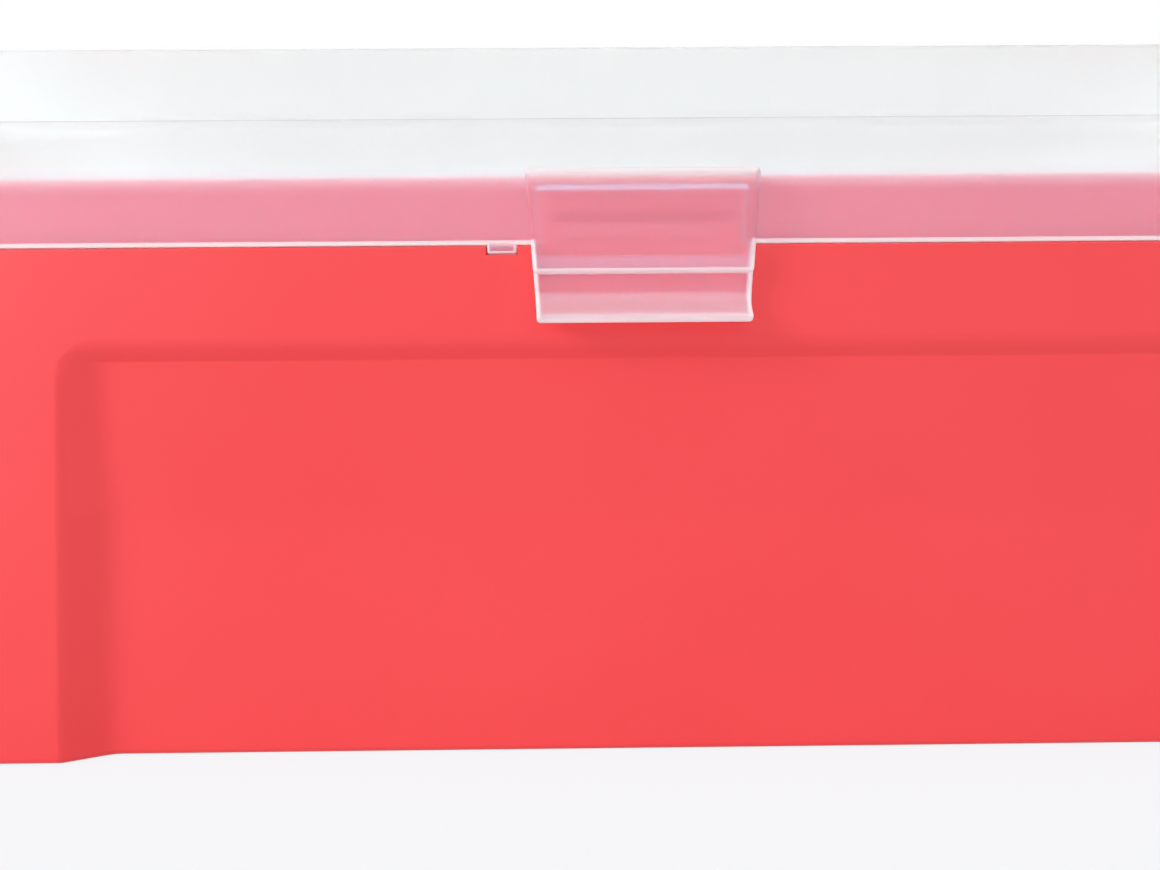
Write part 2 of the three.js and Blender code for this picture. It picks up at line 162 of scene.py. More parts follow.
class Wire:
    """An output socket that reads as a value in an expression."""

    def __init__(self, sheet, socket):
        self.sheet, self.socket = sheet, socket

    def _join(self, operation, first, second):
        pair = (first, second)
        if any(isinstance(w, Wire) and w.socket.type == "VECTOR" for w in pair):
            node = self.sheet.add("ShaderNodeVectorMath", {"operation": operation}, {0: first, 1: second})
            return node["Vector"]
        node = self.sheet.add("ShaderNodeMath", {"operation": operation}, {0: first, 1: second})
        return node["Value"]

    def __add__(self, other):
        return self._join("ADD", self, other)

    def __radd__(self, other):
        return self._join("ADD", other, self)

    def __sub__(self, other):
        return self._join("SUBTRACT", self, other)

    def __rsub__(self, other):
        return self._join("SUBTRACT", other, self)

    def __mul__(self, other):
        return self._join("MULTIPLY", self, other)

    def __rmul__(self, other):
        return self._join("MULTIPLY", other, self)

    def __truediv__(self, other):
        return self._join("DIVIDE", self, other)

    def __rtruediv__(self, other):
        return self._join("DIVIDE", other, self)

    def __abs__(self):
        return self.sheet.add("ShaderNodeMath", {"operation": "ABSOLUTE"}, {0: self})["Value"]

    def clamped(self):
        return self.sheet.add("ShaderNodeClamp", {}, {"Value": self})["Result"]


class Node:
    """A node whose outputs are picked by name."""

    def __init__(self, sheet, node):
        self.sheet, self.node = sheet, node

    def __getitem__(self, name):
        return Wire(self.sheet, self.node.outputs[name])


class Sheet:
    """A node tree under construction."""

    def __init__(self, tree):
        self.tree = tree
        tree.nodes.clear()

    def add(self, kind, settings=None, sockets=None):
        """A node of a kind, with its settings made first and then its sockets given values or wires."""
        node = self.tree.nodes.new(kind)
        for name, value in (settings or {}).items():
            if name == "stops":
                self._set_stops(node.color_ramp, value)
            else:
                setattr(node, name, value)
        for name, value in (sockets or {}).items():
            if isinstance(value, Wire):
                self.tree.links.new(value.socket, node.inputs[name])
            else:
                node.inputs[name].default_value = value
        return Node(self, node)

    @staticmethod
    def _set_stops(ramp, stops):
        while len(ramp.elements) < len(stops):
            ramp.elements.new(1.0)
        for element, (place, colour) in zip(ramp.elements, stops):
            element.position, element.color = place, colour

    def blend(self, share, first, second):
        """A colour between first, at share 0, and second, at share 1."""
        node = self.add("ShaderNodeMix", {"data_type": "RGBA"}, {0: share, 6: first, 7: second})
        return Wire(self, node.node.outputs[2])

    def place(self):
        """The point on the piece, in millimetres."""
        where = self.add("ShaderNodeTexCoord")["Object"]
        node = self.add("ShaderNodeVectorMath", {"operation": "SCALE"}, {0: where, "Scale": 1 / MM})
        return node["Vector"]

    def grain(self, where, size, detail=2.0, roughness=0.5, stretch=(1, 1, 1)):
        """A soft random value round 0.5, with features of this size in millimetres."""
        scaled = where * stretch if stretch != (1, 1, 1) else where
        node = self.add("ShaderNodeTexNoise", {},
                        {"Vector": scaled, "Scale": 1 / size, "Detail": detail, "Roughness": roughness})
        return node["Fac"]

    def shown(self):
        """1 where the backdrop is seen, straight, in a reflection or through a clear piece, or else 0."""
        path = self.add("ShaderNodeLightPath")
        return (path["Is Camera Ray"] + path["Is Glossy Ray"] + path["Is Transmission Ray"]).clamped()

    def bump(self, height, strength, depth):
        """A normal from a height, whose full step is this deep in millimetres."""
        sockets = {"Strength": strength, "Distance": depth * MM, "Height": height}
        return self.add("ShaderNodeBump", {}, sockets)["Normal"]

    def output(self, kind, surface):
        self.add(kind, {}, {"Surface": surface})


def new_material(name):
    material = bpy.data.materials.new(name)
    material.use_nodes = True
    return material, Sheet(material.node_tree)


def plastic(name, colour, shade, roughness, spread, grain_size, grain_depth, haze=None, **constants):
    """A moulded plastic. Its colour drifts towards shade, its roughness drifts by spread, and its skin has
    a fine grain. haze(sheet, where) gives the share and the colour of a clear plastic's milky light."""
    material, sheet = new_material(name)
    where = sheet.place()
    drift = sheet.grain(where, DRIFT_SIZE, 3.0)
    cloud = sheet.grain(where, CLOUD_SIZE, 4.0, 0.6)
    skin = sheet.grain(where, grain_size, 3.0, 0.6)
    sockets = {
        "Base Color": sheet.blend((drift * 1.6 - 0.3).clamped(), (*colour, 1), (*shade, 1)),
        "Roughness": (roughness - spread / 2) + cloud * spread,
        "Normal": sheet.bump(skin, 0.5, grain_depth),
    }
    sockets.update({key.replace("_", " "): value for key, value in constants.items()})
    surface = sheet.add("ShaderNodeBsdfPrincipled", {}, sockets)["BSDF"]
    if haze:
        share, milk = haze(sheet, where)
        milky = sheet.add("ShaderNodeBsdfPrincipled", {}, {
            "Base Color": milk, "Roughness": sockets["Roughness"], "Normal": sockets["Normal"],
            "IOR": constants["IOR"]})["BSDF"]
        surface = sheet.add("ShaderNodeMixShader", {}, {0: share, 1: surface, 2: milky})["Shader"]
    sheet.output("ShaderNodeOutputMaterial", surface)
    return material


def lid_haze(sheet, where):
    """The share and the colour of the lid's haze. It is denser on the ledge and on the skirt, where it is
    cooler too, with a band of painted light along the shoulder. On the latch tab it is denser at the foot and
    on the flare, clearer overall and in a stripe under the crown, and painted highlights mark the flare, the
    rim line, the pocket's ceiling and the tab's sides and crown."""
    axes = sheet.add("ShaderNodeSeparateXYZ", {}, {"Vector": where})
    x, y, z = axes["X"], axes["Y"], axes["Z"]
    above = lambda low, sharp: ((z - low) * sharp).clamped()
    below = lambda high, sharp: ((high - z) * sharp).clamped()
    between = lambda low, high, sharp: above(low, sharp) * below(high, sharp)

    # The walls, the skirt, and the level surfaces from the ledge upwards.
    skirt = below(SKIRT_HAZE_TOP, 1.6)
    normal = sheet.add("ShaderNodeTexCoord")["Normal"]
    facing = sheet.add("ShaderNodeSeparateXYZ", {}, {"Vector": normal})["Z"]
    level = ((abs(facing) - 0.4) * 4.0).clamped() * above(SHOULDER - 2.0, 2.0)
    share = WALL_HAZE + skirt * (SKIRT_HAZE - WALL_HAZE)
    share = share + level * (LEDGE_HAZE - above(SHOULDER, 1.0) * (LEDGE_HAZE - PANEL_HAZE))
    # A band of painted light along the shoulder.
    share = share + between(SHOULDER - 0.9, SHOULDER + 0.1, 4.0) * SHOULDER_PAINTED_GLOW

    # A soft line of painted light round the lid at the height of the neck's rim, and the latch tab, which
    # stands proud of the skirt.
    proud = ((TAB_FRONT - y) * 10.0).clamped()
    rim = above(RIM - 1.65, 0.9) * below(SKIRT_HAZE_TOP, 2.0) * (1.0 - proud)
    # The tab is milkier at its foot and on the flare, where the milk is partly a painted highlight, and it is
    # clearer overall and in a stripe under the crown.
    foot = between(TAB_FOOT + 0.15, POCKET_FOOT, 5.0)
    flare = below(FLARE_TOP, 2.2)
    clear = between(POCKET_TOP, CROWN, 8.0) * STRIPE_CLEAR + TAB_CLEAR
    share = share + rim * PAINTED_RIM_GLOW + proud * (foot * FOOT_HAZE + flare * FLARE_HAZE_AND_GLOW - clear)

    # A painted highlight on the ceiling of the tab's pocket.
    inside = ((y - TAB_FACE - 0.65) * 5.0).clamped() * ((TAB_FRONT - y) * 5.0).clamped()
    share = share + inside * above(POCKET_TOP - 0.65, 8.0) * PAINTED_CEILING_GLINT

    # Painted highlights on the tab's sides and crown.
    width = TAB_HALF - TAB_EDGE - TAB_TAPER * (TAB_TOP - z)
    sides = ((abs(x - TAB_MIDDLE) - width) * 9.0).clamped() * below(SKIRT_EDGE + 0.2, 5.0)
    edge = (sides + above(CROWN, 6.0)).clamped() * proud

    milk = sheet.blend(skirt, MILK, SKIRT_MILK)
    # The painted highlights on the tab's edges, the rim line and the flare are tinted warm.
    warm = (edge + rim * PAINTED_RIM_WARMTH + flare * PAINTED_FLARE_WARMTH).clamped()
    return (share + edge * PAINTED_TAB_EDGE_HAZE).clamped(), sheet.blend(warm, milk, PAINTED_GLOW_MILK)


red_plastic = plastic("red_satin", (0.955, 0.068, 0.073), (0.93, 0.058, 0.064), 0.42, 0.12, 0.35, 0.012,
                      IOR=1.46)
frosted_plastic = plastic("frosted_natural", (0.985, 1.0, 1.0), (0.97, 0.985, 0.99), 0.72, 0.04, 0.30, 0.010,
                          haze=lid_haze, IOR=1.15, Transmission_Weight=1.0)
# A painted glow for the lid's edges: a warmer, less clear copy of the frosted plastic on the skirt's lower
# edge, the nib and the edges of the tab and lip.
painted_glow_material = plastic("painted_edge_glow", (1.0, 0.95, 0.95), (0.99, 0.93, 0.93), 0.70, 0.04, 0.30, 0.008,
                    IOR=1.15, Transmission_Weight=0.28)
white_plastic = plastic("white_matt", (0.88, 0.88, 0.86), (0.85, 0.85, 0.83), 0.50, 0.10, 0.40, 0.010,
                        IOR=1.49)
natural_plastic = plastic("natural_polished", (0.97, 0.97, 0.96), (0.95, 0.96, 0.95), 0.32, 0.08, 0.50, 0.006,
                          IOR=1.20, Transmission_Weight=0.50)
porous_plastic = plastic("porous_white", (0.88, 0.88, 0.86), (0.80, 0.80, 0.78), 0.85, 0.08, 0.16, 0.060,
                         IOR=1.45)
lid_materials = [frosted_plastic, painted_glow_material]


# ---- Mesh helpers ------------------------------------------------------------------------------

def in_scene(name, mesh, materials):
    """An object in the scene that shows a mesh in these materials."""
    for material in materials:
        mesh.materials.append(material)
    piece = bpy.data.objects.new(name, mesh)
    bpy.context.scene.collection.objects.link(piece)
    return piece


def as_piece(name, points, faces, materials, slots=None):
    """A mesh object from points in millimetres. slots gives each face's material."""
    mesh = bpy.data.meshes.new(name)
    mesh.from_pydata([Vector(p) * MM for p in points], [], faces)
    piece = in_scene(name, mesh, materials)
    if slots:
        mesh.polygons.foreach_set("material_index", slots)
    mesh.update()
    return piece


def from_work(name, work, materials):
    """A mesh object from a bmesh, which is then freed."""
    mesh = bpy.data.meshes.new(name)
    work.to_mesh(mesh)
    work.free()
    return in_scene(name, mesh, materials)


def combine(piece, tools, operation):
    """Joins solids to piece, or cuts them out of it, and removes them."""
    for tool in tools:
        modifier = piece.modifiers.new("combine", "BOOLEAN")
        modifier.solver = "MANIFOLD"
        modifier.operation = operation
        modifier.object = tool
        evaluated = piece.evaluated_get(bpy.context.evaluated_depsgraph_get())
        mesh = bpy.data.meshes.new_from_object(evaluated)
        piece.modifiers.clear()
        piece.data = mesh
        bpy.data.objects.remove(tool)
    return piece


def finished(piece, body, slot, *nodes, sharp=38):
    """Smooths a piece's rounded edges, ties it to its body and hides the nodes that it stands for."""
    mesh = piece.data
    work = bmesh.new()
    work.from_mesh(mesh)
    bmesh.ops.remove_doubles(work, verts=work.verts, dist=1e-7)
    bmesh.ops.dissolve_degenerate(work, edges=work.edges, dist=1e-7)
    for face in work.faces:
        face.smooth = True
    for edge in work.edges:
        edge.smooth = len(edge.link_faces) == 2 and edge.calc_face_angle(0) < math.radians(sharp)
    work.to_mesh(mesh)
    work.free()
    even = piece.modifiers.new("even", "WEIGHTED_NORMAL")
    even.keep_sharp = True
    even.weight = 100
    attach(piece, body)
    if nodes:
        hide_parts(*nodes)
    return piece


def rounded(corners, steps=4):
    """A line through (across, up, radius) corners, with each corner turned into an arc of its radius."""
    line = []
    for i, (across, up, radius) in enumerate(corners):
        here = Vector((across, up))
        if radius == 0:
            line.append((across, up))
            continue
        before = Vector(corners[i - 1][:2]) - here
        after = Vector(corners[(i + 1) % len(corners)][:2]) - here
        if min(before.length, after.length) < 1e-5 or before.angle(after) > math.radians(179):
            line += [(across, up)] * (steps + 1)
            continue
        half = before.angle(after) / 2
        reach = min(radius / math.tan(half), 0.49 * before.length, 0.49 * after.length)
        middle = here + (before.normalized() + after.normalized()).normalized() * (reach / math.cos(half))
        first = here + before.normalized() * reach - middle
        last = here + after.normalized() * reach - middle
        turn = math.pi - 2 * half
        for k in range(steps + 1):
            share = k / steps
            swing = first * math.sin((1 - share) * turn) + last * math.sin(share * turn)
            point = middle + swing / math.sin(turn)
            line.append((point.x, point.y))
    return line


def on_footprint(side, along, inset, up, radius, turn=None):
    """A point of the footprint's outline drawn in by inset, on a side or, given a turn, on its corner."""
    (tx, ty), (nx, ny) = TRAVEL[side], OUTWARD[side]
    half, reach = (LENGTH / 2, WIDTH / 2) if side % 2 == 0 else (WIDTH / 2, LENGTH / 2)
    end = half - inset - radius
    out = reach - inset
    if turn is not None:
        out = reach - inset - radius + radius * math.cos(turn)
        along = end + radius * math.sin(turn)
    elif abs(along) > half - POST:  # stations over a corner post close up to make room for a wider corner
        start = half - POST
        share = (abs(along) - start) / (half - CORNER - start)
        along = math.copysign(start + share * (end - start), along)
    return (tx * along + nx * out, ty * along + ny * out, up)


def sweep(stations, section, corner_radius):
    """The closed skin that a section makes as it goes round the footprint: points, faces and their rows.
    section(side, along) gives (inset, up) pairs, from the middle of the top out and round to the bottom."""
    columns = []
    for side in range(4):
        half = (LENGTH if side % 2 == 0 else WIDTH) / 2
        for along in stations(half):
            line = section(side, along)
            columns.append([on_footprint(side, along, i, z, corner_radius(i)) for i, z in line])
        plain = section(side, half - CORNER)
        for k in range(1, CORNER_STEPS):
            turn = k / CORNER_STEPS * math.pi / 2
            columns.append([on_footprint(side, 0, i, z, corner_radius(i), turn) for i, z in plain])
    rows = len(columns[0])
    points = [p for column in columns for p in column]
    faces, row_of = [], []
    for j in range(len(columns)):
        a, b = j * rows, (j + 1) % len(columns) * rows
        for k in range(rows - 1):
            faces.append((a + k, a + k + 1, b + k + 1, b + k))
            row_of.append(k)
    faces.append([j * rows for j in range(len(columns))])
    faces.append([j * rows + rows - 1 for j in reversed(range(len(columns)))])
    return points, faces, row_of + [0, rows - 2]


def brick(name, outline, axes, low, high, rounding, materials, steps=3, glow=None):
    """A prism with rounded edges. axes says how (u, v, depth) map to x, y and z. glow(normal, flat, at) picks
    the faces that get the second material, the lid's painted glow."""
    work = bmesh.new()
    rings = []
    for depth in (low, high):
        ring = []
        for u, v in outline:
            by_axis = dict(zip(axes, (u, v, depth)))
            ring.append(work.verts.new(Vector((by_axis["x"], by_axis["y"], by_axis["z"])) * MM))
        rings.append(ring)
    work.faces.new(rings[0])
    work.faces.new(rings[1])
    for k in range(len(outline)):
        n = (k + 1) % len(outline)
        work.faces.new((rings[0][k], rings[0][n], rings[1][n], rings[1][k]))
    bmesh.ops.recalc_face_normals(work, faces=work.faces)
    flat = [face.normal.copy() for face in work.faces]
    if rounding:
        bmesh.ops.bevel(work, geom=list(work.edges), offset=rounding * MM, segments=steps, profile=0.5,
                        affect="EDGES", clamp_overlap=True)
    for face in work.faces:
        is_flat = any(face.normal.dot(n) > 0.9999 for n in flat)
        face.material_index = 1 if glow and glow(face.normal, is_flat, face.calc_center_median() / MM) else 0
    return from_work(name, work, materials)


def block(name, x, y, z, rounding, materials, steps=3, glow=None):
    """A box with rounded edges, from (low, high) pairs."""
    outline = [(x[0], y[0]), (x[1], y[0]), (x[1], y[1]), (x[0], y[1])]
    return brick(name, outline, "xyz", z[0], z[1], rounding, materials, steps, glow)


def circle(middle_u, middle_v, radius, sides):
    turns = [2 * math.pi * k / sides for k in range(sides)]
    return [(middle_u + radius * math.cos(turn), middle_v + radius * math.sin(turn)) for turn in turns]


# ---- The base ----------------------------------------------------------------------------------

def sink_depth(run):
    """How far a side panel is sunk at this distance inside its edge: a brink, a slope and a soft foot."""
    steep = SINK_DEPTH / (SINK_EDGE / 2 + (SINK_SLOPE - SINK_EDGE) + (SINK_FOOT - SINK_SLOPE) / 2)
    if run <= 0:
        return 0.0
    if run < SINK_EDGE:
        return steep * run * run / (2 * SINK_EDGE)
    if run < SINK_SLOPE:
        return steep * (run - SINK_EDGE / 2)
    if run < SINK_FOOT:
        return SINK_DEPTH - steep * (SINK_FOOT - run) ** 2 / (2 * (SINK_FOOT - SINK_SLOPE))
    return SINK_DEPTH


def sink_top(run):
    """The height of a sunk panel's upper edge, which is rounded down to its sides."""
    missing = SINK_CORNER - min(max(run, 0), SINK_CORNER)
    return PANEL_TOP - SINK_CORNER + math.sqrt(SINK_CORNER ** 2 - missing ** 2)


def base_stations(half):
    edge = half - POST
    runs = [SINK_CORNER * (1 - math.cos(k / 8 * math.pi / 2)) for k in range(9)]
    runs += [SINK_CORNER + s for s in (0.4, 0.8, 1.3, 1.9, 2.6, 3.4, 5.0)]
    right = [edge - run for run in runs]
    step = min(right) / 5
    right += [step * k for k in range(5)]
    right += [half - CORNER, half - CORNER / 2 - POST / 2]
    right = sorted({round(a, 5) for a in right})
    return [-a for a in reversed(right) if a > 0] + right


def base_section(side, along):
    half = (LENGTH if side % 2 == 0 else WIDTH) / 2
    run = half - POST - abs(along)
    sunk, brow = sink_depth(run), sink_top(run)
    return rounded([
        (CAVITY_INSET + 6, FLOOR_TOP, 0),
        (CAVITY_INSET, FLOOR_TOP, 1.2),
        (CAVITY_INSET, RIM, 0.35),
        (NECK_INSET, RIM, 0.45),
        (NECK_INSET, SEAT, 0.25),
        (0, SEAT, 0.25),
        (0, brow + BROW_RISE, 2.6),
        (sunk * SINK_BROW, brow, 0.3),
        (sunk, PANEL_TOP - SINK_LEAN, 30.0),
        (sunk, 0, 0.55),
        (CAVITY_INSET, 0, 0.3),
        (CAVITY_INSET, RECESS, 0.8),
        (CAVITY_INSET + 6, RECESS, 0),
    ])


def base_corner(inset):
    return max(CORNER - inset, 1.4)


def spread(count, length):
    return [((k + 0.5) / count - 0.5) * length for k in range(count)]


def plate_ribs():
    """The ribs inside the walls, which the plate rests on. Each one is rooted in its wall."""
    wall_x, wall_y = LENGTH / 2 - CAVITY_INSET, WIDTH / 2 - CAVITY_INSET
    z = (FLOOR_TOP - 0.9, plate_low.z - 0.3)
    against = lambda wall: ((wall - RIB_DEPTH, wall + 0.8), (-wall - 0.8, -wall + RIB_DEPTH))
    across = lambda middle: (middle - RIB / 2, middle + RIB / 2)
    places = [(across(x), y) for x in spread(LONG_RIBS, 2 * wall_x) for y in against(wall_y)]
    places += [(x, across(y)) for y in spread(SHORT_RIBS, 2 * wall_y) for x in against(wall_x)]
    return [block("rib", x, y, z, 0.3, [red_plastic]) for x, y in places]


def neck_catch():
    """The catch on the neck, which the hook inside the latch tab goes under."""
    face = -(WIDTH / 2 - NECK_INSET)
    outline = [(face + 0.9, CATCH_LOW), (face + 0.9, CATCH_TOP), (face, CATCH_TOP),
               (face - CATCH_PROUD, CATCH_LOW + 0.6), (face - CATCH_PROUD, CATCH_LOW + 0.3)]
    return brick("catch", outline, "yzx", -CATCH_HALF, CATCH_HALF, 0.15, [red_plastic])


def hinge_barrel(name, radius, low, high, rounding, materials, sides=ROUND_SIDES):
    """A cylinder on the hinge's axis."""
    return brick(name, circle(PIN_Y, PIN_Z, radius, sides), "yzx", low, high, rounding, materials)


def hinge_ears(station):
    """A pin, between two ears that webs join to the back."""
    back = WIDTH / 2
    web = [(back - 2, PIN_Z - EAR_DROP), (back, PIN_Z - EAR_DROP), (PIN_Y + KNUCKLE_RADIUS - 0.02, PIN_Z),
           (PIN_Y, PIN_Z + 0.5), (back - 2, PIN_Z + 0.5)]
    reach = EAR_INNER + 1
    pieces = [hinge_barrel("pin", PIN_RADIUS, station - reach, station + reach, 0, [red_plastic], BORE_SIDES)]
    for low, high in ((station - EAR_OUTER, station - EAR_INNER), (station + EAR_INNER, station + EAR_OUTER)):
        pieces.append(hinge_barrel("ear", KNUCKLE_RADIUS, low, high, 0.2, [red_plastic]))
        pieces.append(brick("ear_web", web, "yzx", low, high, 0.2, [red_plastic]))
    return pieces


def make_base():
    points, faces, _ = sweep(base_stations, base_section, base_corner)
    base = as_piece("rack_base", points, faces, [red_plastic])
    reach = EAR_INNER
    sweeps = [hinge_barrel("sweep", SWEEP_RADIUS, x - reach, x + reach, 0, [red_plastic]) for x in HINGES]
    room = NIB_HALF + NIB_GAP
    notch = block("notch", (NIB_X - room, NIB_X + room), (-WIDTH / 2 - 1, -WIDTH / 2 + NECK_INSET),
                  (SKIRT - NIB_DROP - NIB_GAP, SEAT + 1), 0, [red_plastic])
    combine(base, [*sweeps, notch], "DIFFERENCE")
    combine(base, [*plate_ribs(), neck_catch(), *hinge_ears(HINGES[0]), *hinge_ears(HINGES[1])], "UNION")
    return finished(base, "rack", "red_polypropylene", "base")


# ---- The lid -----------------------------------------------------------------------------------

def lid_stations(half):
    right = [(half - CORNER) * k / 8 for k in range(8)] + [half - CORNER]
    return [-a for a in reversed(right) if a > 0] + right


def lid_section(side, along):
    return rounded([
        (TIER_INSET + 7, TOP, 0),
        (TIER_INSET, TOP, TIER_ROUND),
        (TIER_INSET, SHOULDER, 1.8),
        (0, SHOULDER, 1.3),
        (0, SKIRT_EDGE + PAINTED_GLOW_HEIGHT, 0),
        (0, SKIRT_EDGE, SKIRT_ROUND),
        (LID_WALL, SKIRT_EDGE, SKIRT_ROUND),
        (LID_WALL, SKIRT_EDGE + PAINTED_GLOW_HEIGHT, 0),
        (LID_WALL, SHOULDER - LID_WALL, 0.3),
        (TIER_INSET + LID_WALL, SHOULDER - LID_WALL, 0.8),
        (TIER_INSET + LID_WALL, TOP - LID_WALL, 0.7),
        (TIER_INSET + 7, TOP - LID_WALL, 0),
    ])


def lid_corner(inset):
    return CORNER - inset if inset < 1.7 else max(TIER_INSET + TIER_CORNER - inset, 0.6)


def tab_outline(low, high, inset=0.0):
    """The latch tab's outline from the front. Its sides lean in on the way down."""
    half = lambda z: TAB_HALF - inset - TAB_TAPER * (TAB_TOP - z)
    corners = [(-half(low), low), (half(low), low), (half(high), high), (-half(high), high)]
    return [(TAB_MIDDLE + x, z) for x, z in corners]


def lip_section():
    """The finger lip from the side, as (y, z) points: a flat part, then a flare that curves outwards."""
    steps, face = 8, LIP_BACK - LIP_WALL
    outer, inner = [], []
    for k in range(steps + 1):
        share = k / steps
        out, down = FLARE_REACH * share ** 2, FLARE_HEIGHT * share
        slope = 2 * FLARE_REACH * share / FLARE_HEIGHT
        wall = (LIP_WALL + (LIP_EDGE - LIP_WALL) * share) / math.hypot(slope, 1)
        outer.append((face - out, -down))
        inner.append((face - out + wall, -down - wall * slope))
    start = LIP_BOTTOM - inner[-1][1]
    curve = [(y, start + z) for y, z in outer + inner[::-1]]
    return [(face, TAB_FOOT + 0.6), *curve, (LIP_BACK, TAB_FOOT + 0.6)]


def make_lip():
    """The finger lip, whose section is cut to the tab's outline."""
    lip = brick("lip", lip_section(), "yzx", -TAB_HALF - 1, TAB_HALF + 1, 0, lid_materials)
    outline = brick("outline", tab_outline(LIP_BOTTOM - 1, TAB_FOOT + 1), "xzy", -WIDTH, 0, 0, lid_materials)
    combine(lip, [outline], "INTERSECT")
    work = bmesh.new()
    work.from_mesh(lip.data)
    bmesh.ops.remove_doubles(work, verts=work.verts, dist=1e-7)
    edges = [e for e in work.edges if e.calc_face_angle(0) > math.radians(35)]
    bmesh.ops.bevel(work, geom=edges, offset=LIP_ROUND * MM, segments=3, profile=0.5, affect="EDGES",
                    clamp_overlap=True)
    # The lip's ends and the underside of its edge get the painted glow.
    for face in work.faces:
        at = face.calc_center_median() / MM
        ends = abs(face.normal.x) > 0.3
        below = face.normal.z < -0.35 and at.z < LIP_BOTTOM + 0.75
        face.material_index = int(ends or below)
        face.smooth = True
    work.to_mesh(lip.data)
    work.free()
    return lip


def make_tab():
    """The parts of the latch tab that join the lid, the cutters that hollow it, and its hook."""
    # The tab's rounded edges along its top and below the skirt get the painted glow.
    painted_tab_edges = lambda normal, flat, at: not flat and (at.z < SKIRT_EDGE or at.z > TAB_TOP - 0.6)
    tab = brick("tab", tab_outline(TAB_FOOT, TAB_TOP), "xzy", TAB_FACE, -WIDTH / 2 + LID_WALL / 2, 0.42,
                lid_materials, glow=painted_tab_edges)
    pocket = brick("pocket", tab_outline(POCKET_FOOT, POCKET_TOP, TAB_SIDE), "xzy", TAB_FACE + TAB_WALL,
                   -WIDTH / 2 + LID_WALL + 1, 0.55, lid_materials)
    clear = TAB_HALF + LID_WALL / 2
    clearance = block("clearance", (-clear, clear), (LIP_BACK, -WIDTH / 2 + LID_WALL),
                      (LIP_BOTTOM - 1, SKIRT_EDGE), 0, lid_materials)
    hook = block("hook", (-HOOK_HALF, HOOK_HALF), (TAB_FACE + TAB_WALL / 2, HOOK_BACK), (HOOK_LOW, HOOK_TOP),
                 0.2, lid_materials)
    return [tab, make_lip()], [pocket, clearance], hook


def make_nib():
    # The nib's rounded edges get the painted glow.
    return block("nib", (NIB_X - NIB_HALF, NIB_X + NIB_HALF), (-WIDTH / 2, -WIDTH / 2 + LID_WALL),
                 (SKIRT - NIB_DROP, SKIRT + 1), 0.2, lid_materials, glow=lambda normal, flat, at: not flat)


def make_knuckle(station):
    """A knuckle that turns on its pin, with the web that joins it to the skirt."""
    back = WIDTH / 2
    low, high = station - KNUCKLE_HALF, station + KNUCKLE_HALF
    web = [(back - LID_WALL, PIN_Z), (PIN_Y, PIN_Z),
           (PIN_Y + KNUCKLE_RADIUS * math.cos(WEB_ANGLE), PIN_Z + KNUCKLE_RADIUS * math.sin(WEB_ANGLE)),
           (back - LID_WALL / 2, PIN_Z + WEB_RISE), (back - LID_WALL, PIN_Z + WEB_RISE)]
    return [hinge_barrel("knuckle", KNUCKLE_RADIUS, low, high, 0.2, lid_materials),
            brick("knuckle_web", web, "yzx", low, high, 0.15, lid_materials)]


def knuckle_cuts(station):
    """The knuckle's bore, and the mouth under it that the pin snaps in through."""
    low, high = station - KNUCKLE_HALF - 0.15, station + KNUCKLE_HALF + 0.15
    return [hinge_barrel("bore", KNUCKLE_BORE, low, high, 0, lid_materials, BORE_SIDES),
            block("mouth", (low, high), (PIN_Y - KNUCKLE_MOUTH / 2, PIN_Y + KNUCKLE_MOUTH / 2),
                  (PIN_Z - 2 * KNUCKLE_RADIUS, PIN_Z), 0, lid_materials)]


def make_lid():
    points, faces, rows = sweep(lid_stations, lid_section, lid_corner)
    section = lid_section(0, 0)
    # The rows of the skirt's lower edge get the painted glow.
    painted_glow_rows = {k for k in range(len(section) - 1)
                if max(section[k][1], section[k + 1][1]) <= SKIRT_EDGE + PAINTED_GLOW_HEIGHT + 1e-6}
    lid = as_piece("lid_cover", points, faces, lid_materials, [int(row in painted_glow_rows) for row in rows])
    solids, cuts, hook = make_tab()
    combine(lid, [*solids, make_nib()], "UNION")
    reach = EAR_OUTER + SWEEP_GAP
    sweeps = [hinge_barrel("sweep", SWEEP_RADIUS, x - reach, x + reach, 0, lid_materials) for x in HINGES]
    combine(lid, [*cuts, *sweeps], "DIFFERENCE")
    combine(lid, [hook, *make_knuckle(HINGES[0]), *make_knuckle(HINGES[1])], "UNION")
    combine(lid, [*knuckle_cuts(HINGES[0]), *knuckle_cuts(HINGES[1])], "DIFFERENCE")
    return finished(lid, "lid", "frosted_polypropylene", "lid")


# ---- The plate, the tips and their filter plugs ------------------------------------------------

first_low, first_high = box_mm("tip_A1")
last_low, last_high = box_mm("tip_H12")
FIRST = (first_low + first_high) / 2
LAST = (last_low + last_high) / 2
PITCH = (LAST.x - FIRST.x) / (COLUMNS - 1)
TIP_TOP = first_high.z
TIP_LENGTH = first_high.z - first_low.z


def grid_place(row, column):
    return FIRST.x + column * PITCH, FIRST.y - row * PITCH


def plate_outline(inset):
    """The plate's outline, drawn in by inset, with its rounded corners."""
    sides, radius = (plate_high.x - inset, plate_high.y - inset), PLATE_CORNER - inset / 2
    points = []
    for side in range(4):
        (tx, ty), (nx, ny) = TRAVEL[side], OUTWARD[side]
        half, reach = sides if side % 2 == 0 else sides[::-1]
        for k in range(7):
            turn = k / 6 * math.pi / 2
            along = half - radius + radius * math.sin(turn)
            out = reach - radius + radius * math.cos(turn)
            points.append((tx * along + nx * out, ty * along + ny * out))
    return points


